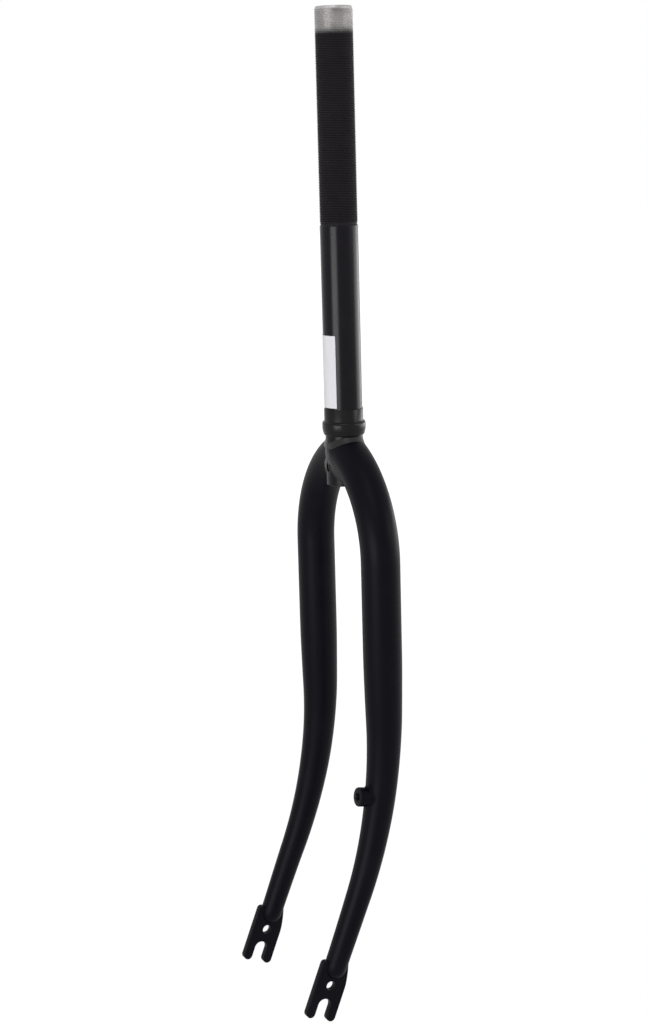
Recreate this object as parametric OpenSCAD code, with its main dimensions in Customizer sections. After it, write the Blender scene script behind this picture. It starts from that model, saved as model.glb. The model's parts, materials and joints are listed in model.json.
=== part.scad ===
// A rigid bicycle fork: a long threaded steerer tube with two round, raked blades bent in to it.
// The origin is the centre of the crown race seat, with up along the steerer and forward towards -Y.

/* [Steerer] */
// Outside diameter of the steerer tube
steerer_d = 25.4; // [22:0.1:32]
// Bore of the steerer tube, which takes the stem quill
steerer_bore = 22.2; // [18:0.1:28]
// Height of the steerer tube above the crown race seat
steerer_height = 270.3; // [180:0.1:320]
// Length of the steerer tube below the crown race seat
steerer_below = 43.5; // [40:0.5:50]
// Length of the threaded zone measured down from the top
thread_length = 140; // [40:1:160]
// Outside diameter over the thread's crests
thread_d = 25.3; // [22:0.1:32]
// Width of the relief groove under the thread
relief_w = 1.2; // [0.8:0.1:2]
// Diameter of the relief groove
relief_d = 24.3; // [23:0.1:25]
// Width of the keyway along the rear of the thread
keyway_w = 3.2; // [2:0.1:4]
// Depth of the keyway
keyway_depth = 0.8; // [0.4:0.1:1.2]
// Diameter of the brake bolt hole through the crown
brake_hole_d = 6.2; // [5:0.1:8]
// Drop of the brake bolt hole below the crown race seat
brake_hole_drop = 31; // [28:0.5:36]

/* [Crown race seat] */
// Diameter of the seat that the crown race is pressed on
seat_d = 26.4; // [26:0.1:28]
// Height of the seat
seat_h = 8.5; // [5:0.5:12]
// Diameter of the flange under the seat
flange_d = 29.4; // [27:0.1:34]
// Height of the flange
flange_h = 9; // [4:0.5:12]

/* [Blades] */
// Outside diameter of a blade at the crown
blade_d = 26.2; // [25:0.1:30]
// Wall of a blade
blade_wall = 1.2; // [0.8:0.1:2]
// Distance between the centres of the two blades under the crown
blade_spacing = 98; // [80:0.5:120]
// Radius of the bend that brings each blade in to the steerer
crown_radius = 75; // [60:1:90]
// Drop of the lower end of that bend below the crown race seat
crown_drop = 90.5; // [80:0.5:100]
// Drop of the point where the forward rake starts
rake_start = 195; // [150:1:240]
// Radius of the forward rake
rake_radius = 325; // [250:1:500]
// Angle of the blade's lower end to the steerer
rake_angle = 22; // [5:0.5:35]
// Outward spread of each blade at its lower end
blade_spread = 3.5; // [0:0.1:5]

/* [Dropouts] */
// Distance between the inner faces of the two dropouts
hub_width = 100; // [74:0.5:110]
// Thickness of a dropout plate
plate_t = 5; // [3:0.1:8]
// Width of the axle slot
slot_w = 9.6; // [9:0.1:12]
// Forward offset of the axle from the steerer axis
axle_forward = 53.3; // [30:0.1:70]
// Drop of the axle below the crown race seat
axle_drop = 390; // [330:0.5:420]
// Width of a prong beside the slot
prong_w = 6.4; // [4:0.1:9]
// Length of the prongs below the axle
prong_l = 10.2; // [6:0.1:16]
// Diameter of the small round hole above the slot
eye_d = 6.4; // [4:0.1:8]
// Height of that hole above the axle
eye_up = 14.2; // [10:0.1:18]

/* [Lamp boss] */
// Diameter of the boss on the left blade
boss_d = 13; // [8:0.1:16]
// Height of the boss above the blade
boss_h = 6.5; // [3:0.1:12]
// Drop of the boss below the crown race seat
boss_drop = 251; // [230:1:290]
// Diameter of the tapped hole in the boss
boss_hole_d = 4.2; // [3:0.1:6]

/* [Paper label] */
// Lower edge of the label above the crown race seat
label_z = 9.6; // [9:0.1:40]
// Height of the label
label_h = 48.5; // [20:0.5:80]
// Angle that the label covers round the steerer
label_angle = 103.5; // [40:0.5:180]
// Thickness of the label
label_t = 0.15; // [0.1:0.05:0.3]

/* [Hidden] */
$fn = 96;
steerer_r = steerer_d / 2;
bore_r = steerer_bore / 2;
thread_r = thread_d / 2;
thread_foot = steerer_height - thread_length;
seat_r = seat_d / 2;
flange_r = flange_d / 2;
chamfer = 0.6;
blade_r = blade_d / 2;
half_spacing = blade_spacing / 2;
bend_x = half_spacing - crown_radius;
plate_x = hub_width / 2 + plate_t / 2;
facets = 32;
bend_rings = 9;
mitre_r = steerer_r + 0.28;
seam_gap = 0.05;
tiny = 0.01;
slot_r = slot_w / 2;
boss_rake = asin((boss_drop - rake_start) / rake_radius);
boss_blade_r = 10.65;
rake_end_drop = rake_start + rake_radius * sin(rake_angle);
rake_end_forward = rake_radius * (1 - cos(rake_angle));
plug_up = 44;
black = [0.09, 0.09, 0.10];
matte = [0.13, 0.13, 0.14];
paper = [0.86, 0.86, 0.88];

// Outer radius of a blade against its drop below the race seat
taper = [[90, 13.1], [160, 13.1], [195, 12.35], [210, 11.75], [226, 11.2], [242, 10.75], [257, 10.35],
         [272, 9.8], [287, 9.35], [302, 8.9], [317, 8.55], [331, 8.2], [345, 8.0], [353, 7.85]];

function blade_radius(drop) = lookup(drop, taper);
function blade_x(drop) = half_spacing + blade_spread * max(0, min(1, (drop - rake_start) / 150));

// A point on the crown bend: round the section, distance from its centreline and place along the bend
function bend_point(round, r, along) = [
    bend_x + (crown_radius + r * cos(round)) * cos(along),
    r * sin(round),
    -crown_drop + (crown_radius + r * cos(round)) * sin(along)];

// Where a line along the blade ends on the steerer tube, or at the middle plane in front and behind
function reach(round, r, wall_r) =
    abs(r * sin(round)) < wall_r - tiny
        ? max(seam_gap, sqrt(wall_r * wall_r - pow(r * sin(round), 2)))
        : seam_gap;
function bend_end(round, r, wall_r) =
    acos((reach(round, r, wall_r) - bend_x) / (crown_radius + r * cos(round)));

// Rings along the raked part: forward offset, drop, slope and outer radius
function arc_station(a) = [
    rake_radius * (1 - cos(a)), rake_start + rake_radius * sin(a), a,
    blade_radius(rake_start + rake_radius * sin(a))];
function end_station(up, r) = [
    axle_forward - up * sin(rake_angle), axle_drop - up * cos(rake_angle), rake_angle, r];

bend_stations = [for (k = [0:bend_rings - 1]) k / bend_rings];
straight_stations = [[0, crown_drop, 0, blade_r], [0, 160, 0, blade_r], [0, 178, 0, blade_radius(178)]];
arc_stations = [for (k = [0:8]) arc_station(rake_angle * k / 8)];
low_stations = [end_station(61, 8.2), end_station(49, 7.95), end_station(plug_up, 7.85)];
cap_stations = [end_station(30, 7.7), end_station(26, 7.4), end_station(23, 6.65),
                end_station(21, 5.5), end_station(19.8, 4), end_station(19.2, 2.2)];
outer_stations = concat(straight_stations, arc_stations, low_stations, cap_stations);
inner_stations = concat(straight_stations, arc_stations, low_stations);

function station_ring(s, less) = [
    for (j = [0:facets - 1]) let (t = 360 * j / facets, r = s[3] - less) [
        blade_x(s[1]) + r * cos(t),
        -s[0] + r * sin(t) * cos(s[2]),
        -s[1] - r * sin(t) * sin(s[2])]];
function bend_ring(k, r) = [
    for (j = [0:facets - 1]) let (t = 360 * j / facets)
        bend_point(t, r, bend_end(t, r, mitre_r) * (1 - k))];

function flat(rings) = [for (ring = rings) for (p = ring) p];
function wall_faces(rings, first, out) = [
    for (i = [0:rings - 2]) for (j = [0:facets - 1])
        let (a = first + i * facets + j, b = first + i * facets + (j + 1) % facets,
             c = b + facets, d = a + facets)
        each (out ? [[a, b, c], [a, c, d]] : [[a, c, b], [a, d, c]])];

// A hollow blade, closed at its lower end, with its upper end cut to fit the steerer
module blade_shell() {
    inner_r = blade_r - blade_wall;
    outer = concat([for (k = bend_stations) bend_ring(k, blade_r)],
                   [for (s = outer_stations) station_ring(s, 0)]);
    inner = concat([for (k = bend_stations) bend_ring(k, inner_r)],
                   [for (s = inner_stations) station_ring(s, blade_wall)]);
    outer_count = len(outer);
    inner_count = len(inner);
    first_inner = outer_count * facets;
    tip = end_station(19, 0);
    plug = end_station(plug_up - 1, 0);
    tip_index = first_inner + inner_count * facets;
    plug_index = tip_index + 1;
    last_outer = (outer_count - 1) * facets;
    last_inner = first_inner + (inner_count - 1) * facets;
    polyhedron(
        points = concat(flat(outer), flat(inner),
            [[blade_x(tip[1]), -tip[0], -tip[1]], [blade_x(plug[1]), -plug[0], -plug[1]]]),
        faces = concat(
            wall_faces(outer_count, 0, true),
            wall_faces(inner_count, first_inner, false),
            [for (j = [0:facets - 1]) let (n = (j + 1) % facets)
                [j, first_inner + j, first_inner + n]],
            [for (j = [0:facets - 1]) let (n = (j + 1) % facets) [j, first_inner + n, n]],
            [for (j = [0:facets - 1]) let (n = (j + 1) % facets)
                [tip_index, last_outer + j, last_outer + n]],
            [for (j = [0:facets - 1]) let (n = (j + 1) % facets)
                [plug_index, last_inner + n, last_inner + j]]));
}

// The frame of a dropout: axle at the origin, up along the blade's end
module at_axle() {
    translate([0, -axle_forward, -axle_drop])
        rotate([-rake_angle, 0, 0])
            children();
}

module blade() {
    difference() {
        blade_shell();
        at_axle()
            translate([plate_x - plate_t / 2 - seam_gap, -20, 0])
                cube([plate_t + 2 * seam_gap, 40, 41.1]);
    }
}

// Points round the end of one prong, from its inner edge to its outer edge
function prong_end(side) = [for (a = [0:15:180])
    [side * (slot_r + prong_w / 2 - prong_w / 2 * cos(a)), prong_w / 2 - prong_l - prong_w / 2 * sin(a)]];
function turned(points) = [for (i = [len(points) - 1:-1:0]) points[i]];

module dropout_outline() {
    edge = slot_r + prong_w;
    difference() {
        polygon(concat(
            [[-7.2, 41], [7.2, 41], [7.2, 34], [edge, 15]],
            turned(prong_end(1)),
            [[slot_r, 0], [-slot_r, 0]],
            prong_end(-1),
            [[-edge, 28.4], [-10, 30.2], [-7.8, 30.8], [-7.2, 32]]));
        circle(r = slot_r);
        translate([0, eye_up])
            circle(d = eye_d);
    }
}

module dropout() {
    at_axle()
        translate([plate_x - plate_t / 2, 0, 0])
            rotate([90, 0, 90])
                linear_extrude(plate_t)
                    dropout_outline();
}

module steerer_tube() {
    color(matte)
        difference() {
            rotate_extrude()
                polygon([[bore_r, -steerer_below], [steerer_r - chamfer, -steerer_below],
                         [steerer_r, chamfer - steerer_below],
                         [steerer_r, thread_foot], [relief_d / 2, thread_foot],
                         [relief_d / 2, thread_foot + relief_w],
                         [thread_r, thread_foot + relief_w],
                         [thread_r, steerer_height - chamfer],
                         [thread_r - chamfer, steerer_height], [bore_r + chamfer, steerer_height],
                         [bore_r, steerer_height - chamfer]]);
            translate([-keyway_w / 2, thread_r - keyway_depth, thread_foot])
                cube([keyway_w, 3, thread_length + 1]);
            translate([0, 0, -brake_hole_drop])
                rotate([90, 0, 0])
                    cylinder(d = brake_hole_d, h = 40, center = true);
        }
}

module crown_race_ring() {
    color(black)
        rotate_extrude()
            polygon([[steerer_r, -flange_h], [flange_r - 0.9, -flange_h], [flange_r, -flange_h + 3.4],
                     [flange_r, -0.5], [flange_r - 0.5, 0], [seat_r, 0], [seat_r, seat_h - 0.3],
                     [seat_r - 0.3, seat_h], [steerer_r, seat_h]]);
}

module left_blade() {
    color(black)
        blade();
}

module right_blade() {
    color(black)
        mirror([1, 0, 0])
            blade();
}

module left_dropout() {
    color(black)
        dropout();
}

module right_dropout() {
    color(black)
        mirror([1, 0, 0])
            dropout();
}

// The weld bead round the end of a blade on the steerer
bead_r = blade_r + 0.1;
bead_wall = steerer_r + 0.16;
bead_leg = 2.2;
low_leg = 1.1;
bead_sides = 4;
bead_steps = 24;
function unit(v) = v / norm(v);
function bead_section(t, rise) =
    let (stop = bend_end(t, bead_r, bead_wall),
         root = bend_point(t, bead_r, stop),
         down = bend_point(t, bead_r, stop - bead_leg / (crown_radius + bead_r * cos(t)) * 180 / PI),
         normal = unit([cos(stop) * cos(t), sin(t), sin(stop) * cos(t)]
                       + unit([root[0], root[1], 0])),
         crest = root + normal * 1.5)
    [root, down, [max(seam_gap, crest[0]), crest[1], crest[2]],
     root + [0, 0, rise > 0 ? bead_leg : -low_leg]];

// One open run of the bead, above the blade where rise is 1 and below it where rise is -1
module bead_run(first, last, rise) {
    rings = [for (j = [0:bead_steps]) bead_section(first + (last - first) * j / bead_steps, rise)];
    end = bead_steps * bead_sides;
    faces = concat(
        [for (i = [0:bead_steps - 1]) for (k = [0:bead_sides - 1])
            let (m = (k + 1) % bead_sides,
                 a = i * bead_sides + k, b = i * bead_sides + m,
                 c = b + bead_sides, d = a + bead_sides)
            each [[a, b, c], [a, c, d]]],
        [[0, 2, 1], [0, 3, 2], [end, end + 1, end + 2], [end, end + 2, end + 3]]);
    polyhedron(points = flat(rings), faces = faces);
}

module crown_bead() {
    bead_run(-84, 84, 1);
    bead_run(96, 264, -1);
}

module left_crown_weld() {
    color(black)
        crown_bead();
}

module right_crown_weld() {
    color(black)
        mirror([1, 0, 0])
            crown_bead();
}

// A round tapped boss on the front of the left blade
module lamp_boss() {
    color(black)
        translate([blade_x(boss_drop), -rake_radius * (1 - cos(boss_rake)), -boss_drop])
            rotate([-boss_rake, 0, 0])
                difference() {
                    rotate([90, 0, 0])
                        cylinder(d = boss_d, h = boss_blade_r + boss_h);
                    cylinder(r = boss_blade_r + 0.18, h = 40, center = true);
                    translate([0, -boss_blade_r - boss_h - 1, 0])
                        rotate([-90, 0, 0])
                            cylinder(d = boss_hole_d, h = boss_h);
                }
}

// A plain paper label on the front of the steerer
module paper_label() {
    color(paper)
        rotate([0, 0, -46.5 - label_angle])
            rotate_extrude(angle = label_angle)
                translate([steerer_r + 0.02, label_z])
                    square([label_t, label_h]);
}

steerer_tube();
crown_race_ring();
left_blade();
right_blade();
left_dropout();
right_dropout();
left_crown_weld();
right_crown_weld();
lamp_boss();
paper_label();
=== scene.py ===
import json
import logging
import math
from collections.abc import Sequence
from dataclasses import dataclass
from enum import Enum
from typing import Any

import bmesh
import bpy
from mathutils import Matrix, Vector


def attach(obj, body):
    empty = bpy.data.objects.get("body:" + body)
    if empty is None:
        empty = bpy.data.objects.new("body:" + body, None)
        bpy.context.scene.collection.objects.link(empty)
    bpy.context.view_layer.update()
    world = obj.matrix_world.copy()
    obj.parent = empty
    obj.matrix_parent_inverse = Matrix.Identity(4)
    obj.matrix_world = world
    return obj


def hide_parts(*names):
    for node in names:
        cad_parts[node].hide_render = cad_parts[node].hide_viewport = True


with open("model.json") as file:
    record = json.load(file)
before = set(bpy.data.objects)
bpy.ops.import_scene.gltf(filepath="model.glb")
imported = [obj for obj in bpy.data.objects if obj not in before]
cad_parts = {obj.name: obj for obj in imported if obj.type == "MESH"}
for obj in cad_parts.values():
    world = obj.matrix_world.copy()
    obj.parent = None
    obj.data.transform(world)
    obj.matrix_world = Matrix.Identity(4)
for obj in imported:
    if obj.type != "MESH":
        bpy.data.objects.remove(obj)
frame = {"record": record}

LOG = logging.getLogger("bicycle_fork")
MM = 0.001
BODY = "root"
Point = tuple[float, float, float]
MOUNTS = {mount["name"]: mount for mount in frame["record"]["mounts"]}


def mount_radius(name: str) -> float:
    """The radius of one of the CAD model's mounts, in millimetres."""
    return MOUNTS[name]["dims"]["r_mm"]


def mount_place(name: str) -> Point:
    """The place of one of the CAD model's mounts, in millimetres."""
    x, y, z = (round(part / MM, 3) for part in MOUNTS[name]["pos_m"])
    return x, y, z


class Side(Enum):
    """Which side of the wheel a piece is on, seen by the rider."""

    LEFT = 1
    RIGHT = -1

    @property
    def word(self) -> str:
        """The side's name as the nodes spell it."""
        return self.name.lower()


class Value:
    """A number socket whose arithmetic adds Math nodes."""

    def __init__(self, graph: "Graph", socket: bpy.types.NodeSocket) -> None:
        """Wraps one socket of a graph."""
        self.graph = graph
        self.socket = socket

    def math(self, operation: str, *others: Any) -> "Value":
        """Adds a Math node whose first input is this number."""
        return self.graph.math(operation, self, *others)

    def __add__(self, other: Any) -> "Value":
        """This plus other."""
        return self.math("ADD", other)

    __radd__ = __add__

    def __sub__(self, other: Any) -> "Value":
        """This minus other."""
        return self.math("SUBTRACT", other)

    def __rsub__(self, other: Any) -> "Value":
        """Other minus this."""
        return self.graph.math("SUBTRACT", other, self)

    def __mul__(self, other: Any) -> "Value":
        """This times other."""
        return self.math("MULTIPLY", other)

    __rmul__ = __mul__

    def __truediv__(self, other: Any) -> "Value":
        """This divided by other."""
        return self.math("DIVIDE", other)

    def above(self, low: float, high: float) -> "Value":
        """A smooth mask: 0 below low, 1 above high.

        Args:
            low: The value at which the mask starts to rise.
            high: The value at which it reaches 1.

        Returns:
            The mask.
        """
        return self.graph.value(
            "ShaderNodeMapRange",
            {"interpolation_type": "SMOOTHSTEP"},
            {"Value": self, "From Min": low, "From Max": high},
        )


class Graph:
    """A node tree that is being built, for a material or for geometry."""

    def __init__(self, tree: bpy.types.NodeTree) -> None:
        """Wraps a node tree."""
        self.tree = tree

    def add(
        self,
        kind: str,
        settings: dict[str, Any] | None = None,
        inputs: dict[Any, Any] | None = None,
    ) -> bpy.types.Node:
        """Adds one node.

        Args:
            kind: The node's type.
            settings: Its properties, which are set first.
            inputs: Values or links for its sockets, by name or place.

        Returns:
            The new node.
        """
        node = self.tree.nodes.new(kind)
        for name, value in (settings or {}).items():
            setattr(node, name, value)
        for key, value in (inputs or {}).items():
            self.feed(node.inputs[key], value)
        return node

    def feed(self, socket: bpy.types.NodeSocket, value: Any) -> None:
        """Sets a socket to a value, or links it.

        Args:
            socket: The input socket.
            value: A plain value, a socket or a wrapped number.
        """
        if isinstance(value, Value):
            value = value.socket
        if isinstance(value, bpy.types.NodeSocket):
            self.tree.links.new(value, socket)
        else:
            socket.default_value = value

    def value(self, kind: str, settings: dict[str, Any], inputs: dict[Any, Any]) -> Value:
        """Adds one node and wraps its first output as a number."""
        return Value(self, self.add(kind, settings, inputs).outputs[0])

    def math(self, operation: str, *terms: Any) -> Value:
        """Adds one Math node, whose inputs are numbers or wrapped sockets in order."""
        return self.value("ShaderNodeMath", {"operation": operation}, dict(enumerate(terms)))

    def split(self, vector: bpy.types.NodeSocket) -> list[Value]:
        """The three parts of a vector."""
        parts = self.add("ShaderNodeSeparateXYZ", None, {0: vector})
        return [Value(self, part) for part in parts.outputs]

    def looked_at(self) -> Value:
        """A mask for what is looked at, so that it can differ from what lights the object.

        Returns:
            1 for the camera, reflections and refractions, and 0 for light on the object.
        """
        path = self.add("ShaderNodeLightPath")
        seen = Value(self, path.outputs["Is Camera Ray"])
        for ray in ("Is Glossy Ray", "Is Transmission Ray"):
            seen = seen.math("MAXIMUM", path.outputs[ray])
        return seen

    def mix(self, mask: Any, low: Any, high: Any) -> bpy.types.NodeSocket:
        """Blends two colours.

        Args:
            mask: 0 shows low and 1 shows high.
            low: The first colour or its socket.
            high: The second colour or its socket.

        Returns:
            The blended colour's socket.
        """
        node = self.tree.nodes.new("ShaderNodeMix")
        node.data_type = "RGBA"
        inputs = [s for s in node.inputs if s.type == "RGBA"]
        self.feed(node.inputs[0], mask)
        self.feed(inputs[0], rgba(low))
        self.feed(inputs[1], rgba(high))
        return next(s for s in node.outputs if s.type == "RGBA")


def emptied(owner: bpy.types.Material | bpy.types.World) -> Graph:
    """Gives a material or a world an empty node tree.

    Args:
        owner: The material or the world.

    Returns:
        The graph of its tree.
    """
    owner.use_nodes = True
    owner.node_tree.nodes.clear()
    return Graph(owner.node_tree)


def rgba(colour: Any) -> Any:
    """A three-part colour with its alpha, and anything else as it is."""
    return (*colour, 1.0) if isinstance(colour, tuple) and len(colour) == 3 else colour


def between(low: Any, high: Any, mask: Value) -> Value:
    """A number that runs from low to high as the mask runs from 0 to 1."""
    return low + (high - low) * mask


@dataclass(frozen=True)
class Finish:
    """What every finish shares: a name and the way its material is put together."""

    name: str = "finish"

    def material(self) -> bpy.types.Material:
        """The finish as a material, made once.

        Returns:
            The material.
        """
        known = bpy.data.materials.get(self.name)
        if known:
            return known
        made = bpy.data.materials.new(self.name)
        graph = emptied(made)
        shader = graph.add("ShaderNodeBsdfPrincipled")
        self.dress(graph, shader)
        graph.add("ShaderNodeOutputMaterial", None, {"Surface": shader.outputs[0]})
        return made

    def dress(self, graph: Graph, shader: bpy.types.Node) -> None:
        """Sets the shader's sockets. Each finish has its own way."""
        raise NotImplementedError

    def place(self, graph: Graph) -> bpy.types.NodeSocket:
        """The object's own coordinates, in metres."""
        return graph.add("ShaderNodeTexCoord").outputs["Object"]

    def grain(
        self,
        graph: Graph,
        size_mm: float,
        stretch: Point = (1.0, 1.0, 1.0),
        detail: float = 3.0,
    ) -> Value:
        """Noise of a given grain.

        Args:
            graph: The material's graph.
            size_mm: The size of one grain.
            stretch: Scale of the coordinates along each axis.
            detail: The noise's detail.

        Returns:
            The noise, about 0.5 on average.
        """
        spread = graph.add("ShaderNodeMapping", None, {"Vector": self.place(graph), "Scale": stretch})
        return graph.value(
            "ShaderNodeTexNoise",
            {},
            {"Vector": spread.outputs[0], "Scale": 1 / (size_mm * MM), "Detail": detail},
        )

    def bump(self, graph: Graph, shader: bpy.types.Node, height: Value, depth_mm: float) -> None:
        """Raises the surface by a height map.

        Args:
            graph: The material's graph.
            shader: The shader that takes the normal.
            height: The height, from 0 to 1.
            depth_mm: What a height of 1 stands for.
        """
        node = graph.add("ShaderNodeBump", None, {"Height": height, "Distance": depth_mm * MM})
        graph.feed(shader.inputs["Normal"], node.outputs[0])


@dataclass(frozen=True)
class GlossPaint(Finish):
    """Black paint with faint orange peel, dust and rubbed spots."""

    name: str = "blade_black_paint"
    colour: Point = (0.0030, 0.0025, 0.0050)
    dusty: Point = (0.0100, 0.0088, 0.0125)
    roughness: float = 0.38
    rubbed: float = 0.52
    specular: float = 0.055
    peel_mm: float = 1.6
    peel_depth_mm: float = 0.012
    cloud_mm: float = 22.0
    speck_mm: float = 0.7
    rub_mm: float = 3.0
    wave_mm: float = 9.0
    cloud_share: float = 0.18
    speck_share: float = 0.22
    cloud_roughness: float = 0.06
    rub_share: float = 0.35

    def dress(self, graph: Graph, shader: bpy.types.Node) -> None:
        """Sets the shader's sockets.

        Args:
            graph: The material's graph.
            shader: Its Principled shader.
        """
        cloud = self.grain(graph, self.cloud_mm, detail=4.0)
        speck = self.grain(graph, self.speck_mm, detail=2.0).above(0.66, 0.78)
        rub = self.grain(graph, self.rub_mm, (1.0, 1.0, 0.12)).above(0.6, 0.8)
        dust = cloud.above(0.45, 0.75) * self.cloud_share + speck * self.speck_share
        graph.feed(shader.inputs["Base Color"], graph.mix(dust, self.colour, self.dusty))
        worn = rub * (self.rubbed - self.roughness) * self.rub_share
        rough = self.roughness + cloud * self.cloud_roughness + worn
        graph.feed(shader.inputs["Roughness"], rough)
        shader.inputs["Specular IOR Level"].default_value = self.specular
        peel = self.grain(graph, self.peel_mm, detail=1.5)
        peel = peel + self.grain(graph, self.wave_mm, detail=1.0)
        self.bump(graph, shader, peel * 0.5, self.peel_depth_mm)


CROWN_PAINT = GlossPaint("crown_black_paint", (0.0040, 0.0039, 0.0048), roughness=0.26, specular=0.15)
WELD_PAINT = GlossPaint("weld_black_paint", (0.0048, 0.0046, 0.0058), roughness=0.32, specular=0.32)
STEERER_PAINT = GlossPaint("steerer_black_paint", (0.0026, 0.0016, 0.0038), roughness=0.22, specular=0.13)


@dataclass(frozen=True)
class SteererFinish(Finish):
    """Gloss paint, dull thread above it and bare steel at the top and in the bore. Metres."""

    thread_start: float = 0.0
    bare_start: float = 0.0
    bore_radius: float = 0.0
    crest: float = 0.0
    crest_low: float = 0.00022
    crest_high: float = 0.00002
    soft_below: float = 0.0018
    soft_above: float = 0.0035
    thread_edge: float = 0.00015
    bore_edge: float = 0.0001
    ragged: float = 0.0012
    ragged_mm: float = 1.5
    cloud_mm: float = 12.0
    turned_mm: float = 0.35
    paint: GlossPaint = STEERER_PAINT
    dull: Point = (0.0135, 0.0112, 0.0145)
    worn: Point = (0.046, 0.042, 0.046)
    steel: Point = (0.46, 0.447, 0.447)
    stained: Point = (0.30, 0.29, 0.285)
    bore: Point = (0.11, 0.10, 0.095)

    def dress(self, graph: Graph, shader: bpy.types.Node) -> None:
        """Sets the shader's sockets.

        Args:
            graph: The material's graph.
            shader: Its Principled shader.
        """
        x, y, z = graph.split(self.place(graph))
        radius = (x * x + y * y).math("SQRT")
        level = z + (self.grain(graph, self.ragged_mm) - 0.5) * self.ragged
        threaded = level.above(self.thread_start - self.thread_edge, self.thread_start + self.thread_edge)
        bare = level.above(self.bare_start - self.soft_below, self.bare_start + self.soft_above)
        inside = 1 - radius.above(self.bore_radius - self.bore_edge, self.bore_radius + self.bore_edge)
        cloud = self.grain(graph, self.cloud_mm, detail=4.0)
        turned = self.grain(graph, self.turned_mm, (0.02, 0.02, 1.0), 2.0)
        crest = radius.above(self.crest - self.crest_low, self.crest - self.crest_high)
        dust = cloud.above(0.45, 0.75) * self.paint.cloud_share
        colour = graph.mix(dust, self.paint.colour, self.paint.dusty)
        dull = graph.mix(crest * cloud, self.dull, self.worn)
        colour = graph.mix(threaded, colour, dull)
        stain = cloud.above(0.42, 0.72) * 0.7 + turned * 0.2
        colour = graph.mix(bare, colour, graph.mix(stain, self.steel, self.stained))
        colour = graph.mix(inside, colour, graph.mix(cloud, self.bore, self.stained))
        graph.feed(shader.inputs["Base Color"], colour)
        smooth = self.paint.roughness + cloud * self.paint.cloud_roughness
        rough = between(smooth, 0.52 + cloud * 0.2, threaded)
        rough = between(rough, 0.34 + turned * 0.22, bare)
        graph.feed(shader.inputs["Roughness"], between(rough, 0.62, inside))
        metal = between(threaded * 0.35, 1.0, bare)
        graph.feed(shader.inputs["Metallic"], between(metal, 0.85, inside))
        shader.inputs["Specular IOR Level"].default_value = self.paint.specular
        peel = self.grain(graph, self.paint.peel_mm, detail=1.5)
        height = between(peel, turned, threaded)
        self.bump(graph, shader, height, self.paint.peel_depth_mm)


@dataclass(frozen=True)
class LabelPaper(Finish):
    """Plain coated paper with faint ruled lines and a paler strip along its lower edge. Metres."""

    low: float = 0.0
    strip_edge: float = 0.0002
    paper: Point = (0.70, 0.70, 0.73)
    ruled: Point = (0.56, 0.56, 0.59)
    strip: Point = (0.90, 0.90, 0.92)
    strip_height: float = 0.0045
    line_pitch: float = 0.0068
    fibre_mm: float = 0.6
    fibre_depth_mm: float = 0.01
    soil_mm: float = 14.0

    def dress(self, graph: Graph, shader: bpy.types.Node) -> None:
        """Sets the shader's sockets.

        Args:
            graph: The material's graph.
            shader: Its Principled shader.
        """
        up = graph.split(self.place(graph))[2] - self.low
        cell = (up / self.line_pitch).math("FRACT")
        line = cell.above(0.44, 0.50) * (1 - cell.above(0.58, 0.64))
        fibre = self.grain(graph, self.fibre_mm, (1.0, 1.0, 0.4))
        soil = self.grain(graph, self.soil_mm, detail=4.0).above(0.4, 0.8)
        marks = line * 0.5 + fibre * 0.12 + soil * 0.2
        colour = graph.mix(marks, self.paper, self.ruled)
        strip = self.strip_height
        edge = 1 - up.above(strip - self.strip_edge, strip + self.strip_edge)
        graph.feed(shader.inputs["Base Color"], graph.mix(edge, colour, self.strip))
        graph.feed(shader.inputs["Roughness"], 0.42 + fibre * 0.2)
        self.bump(graph, shader, fibre, self.fibre_depth_mm)


def new_object(name: str, data: bpy.types.ID) -> bpy.types.Object:
    """Puts a new object in the scene.

    Args:
        name: The object's name.
        data: The mesh, curve, camera or lamp that it carries.

    Returns:
        The object.
    """
    made = bpy.data.objects.new(name, data)
    bpy.context.scene.collection.objects.link(made)
    return made


def finished(name: str, mesh: bpy.types.Mesh, finish: Finish) -> bpy.types.Object:
    """Puts a mesh in the scene with smooth shading that keeps its sharp edges.

    Args:
        name: The piece's name.
        mesh: Its mesh, in metres in the fork's frame.
        finish: Its finish.

    Returns:
        The new object.
    """
    sharp_angle = math.radians(32)
    mesh.name = name
    mesh.materials.clear()
    mesh.materials.append(finish.material())
    for polygon in mesh.polygons:
        polygon.use_smooth = True
        polygon.material_index = 0
    mesh.set_sharp_from_angle(angle=sharp_angle)
    return new_object(name, mesh)


def declared(piece: bpy.types.Object, replaced: Sequence[str] = ()) -> None:
    """Ties a piece to the CAD model and reports it.

    Args:
        piece: The piece, in place.
        replaced: The CAD nodes that it stands for.
    """
    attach(piece, BODY)
    if replaced:
        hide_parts(*replaced)
    LOG.info("%s: %d faces, replaces %s", piece.name, len(piece.data.polygons), list(replaced))


def sealed(mesh: bpy.types.Mesh, gap: float = 1e-7) -> None:
    """Merges a mesh's doubles and points its normals outwards.

    Args:
        mesh: The mesh.
        gap: The distance within which two points are one, in metres.
    """
    work = bmesh.new()
    work.from_mesh(mesh)
    bmesh.ops.remove_doubles(work, verts=work.verts, dist=gap)
    bmesh.ops.recalc_face_normals(work, faces=work.faces)
    work.to_mesh(mesh)
    work.free()


def closed_mesh(name: str, points: Sequence[Any], faces: Sequence[Sequence[int]]) -> bpy.types.Mesh:
    """A mesh with its doubles merged and its normals pointing out.

    Args:
        name: The mesh's name.
        points: The vertices, in millimetres.
        faces: The faces as vertex numbers.

    Returns:
        The mesh, in metres.
    """
    mesh = bpy.data.meshes.new(name)
    mesh.from_pydata([tuple(MM * c for c in p) for p in points], [], faces)
    sealed(mesh)
    mesh.validate()
    return mesh


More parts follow.
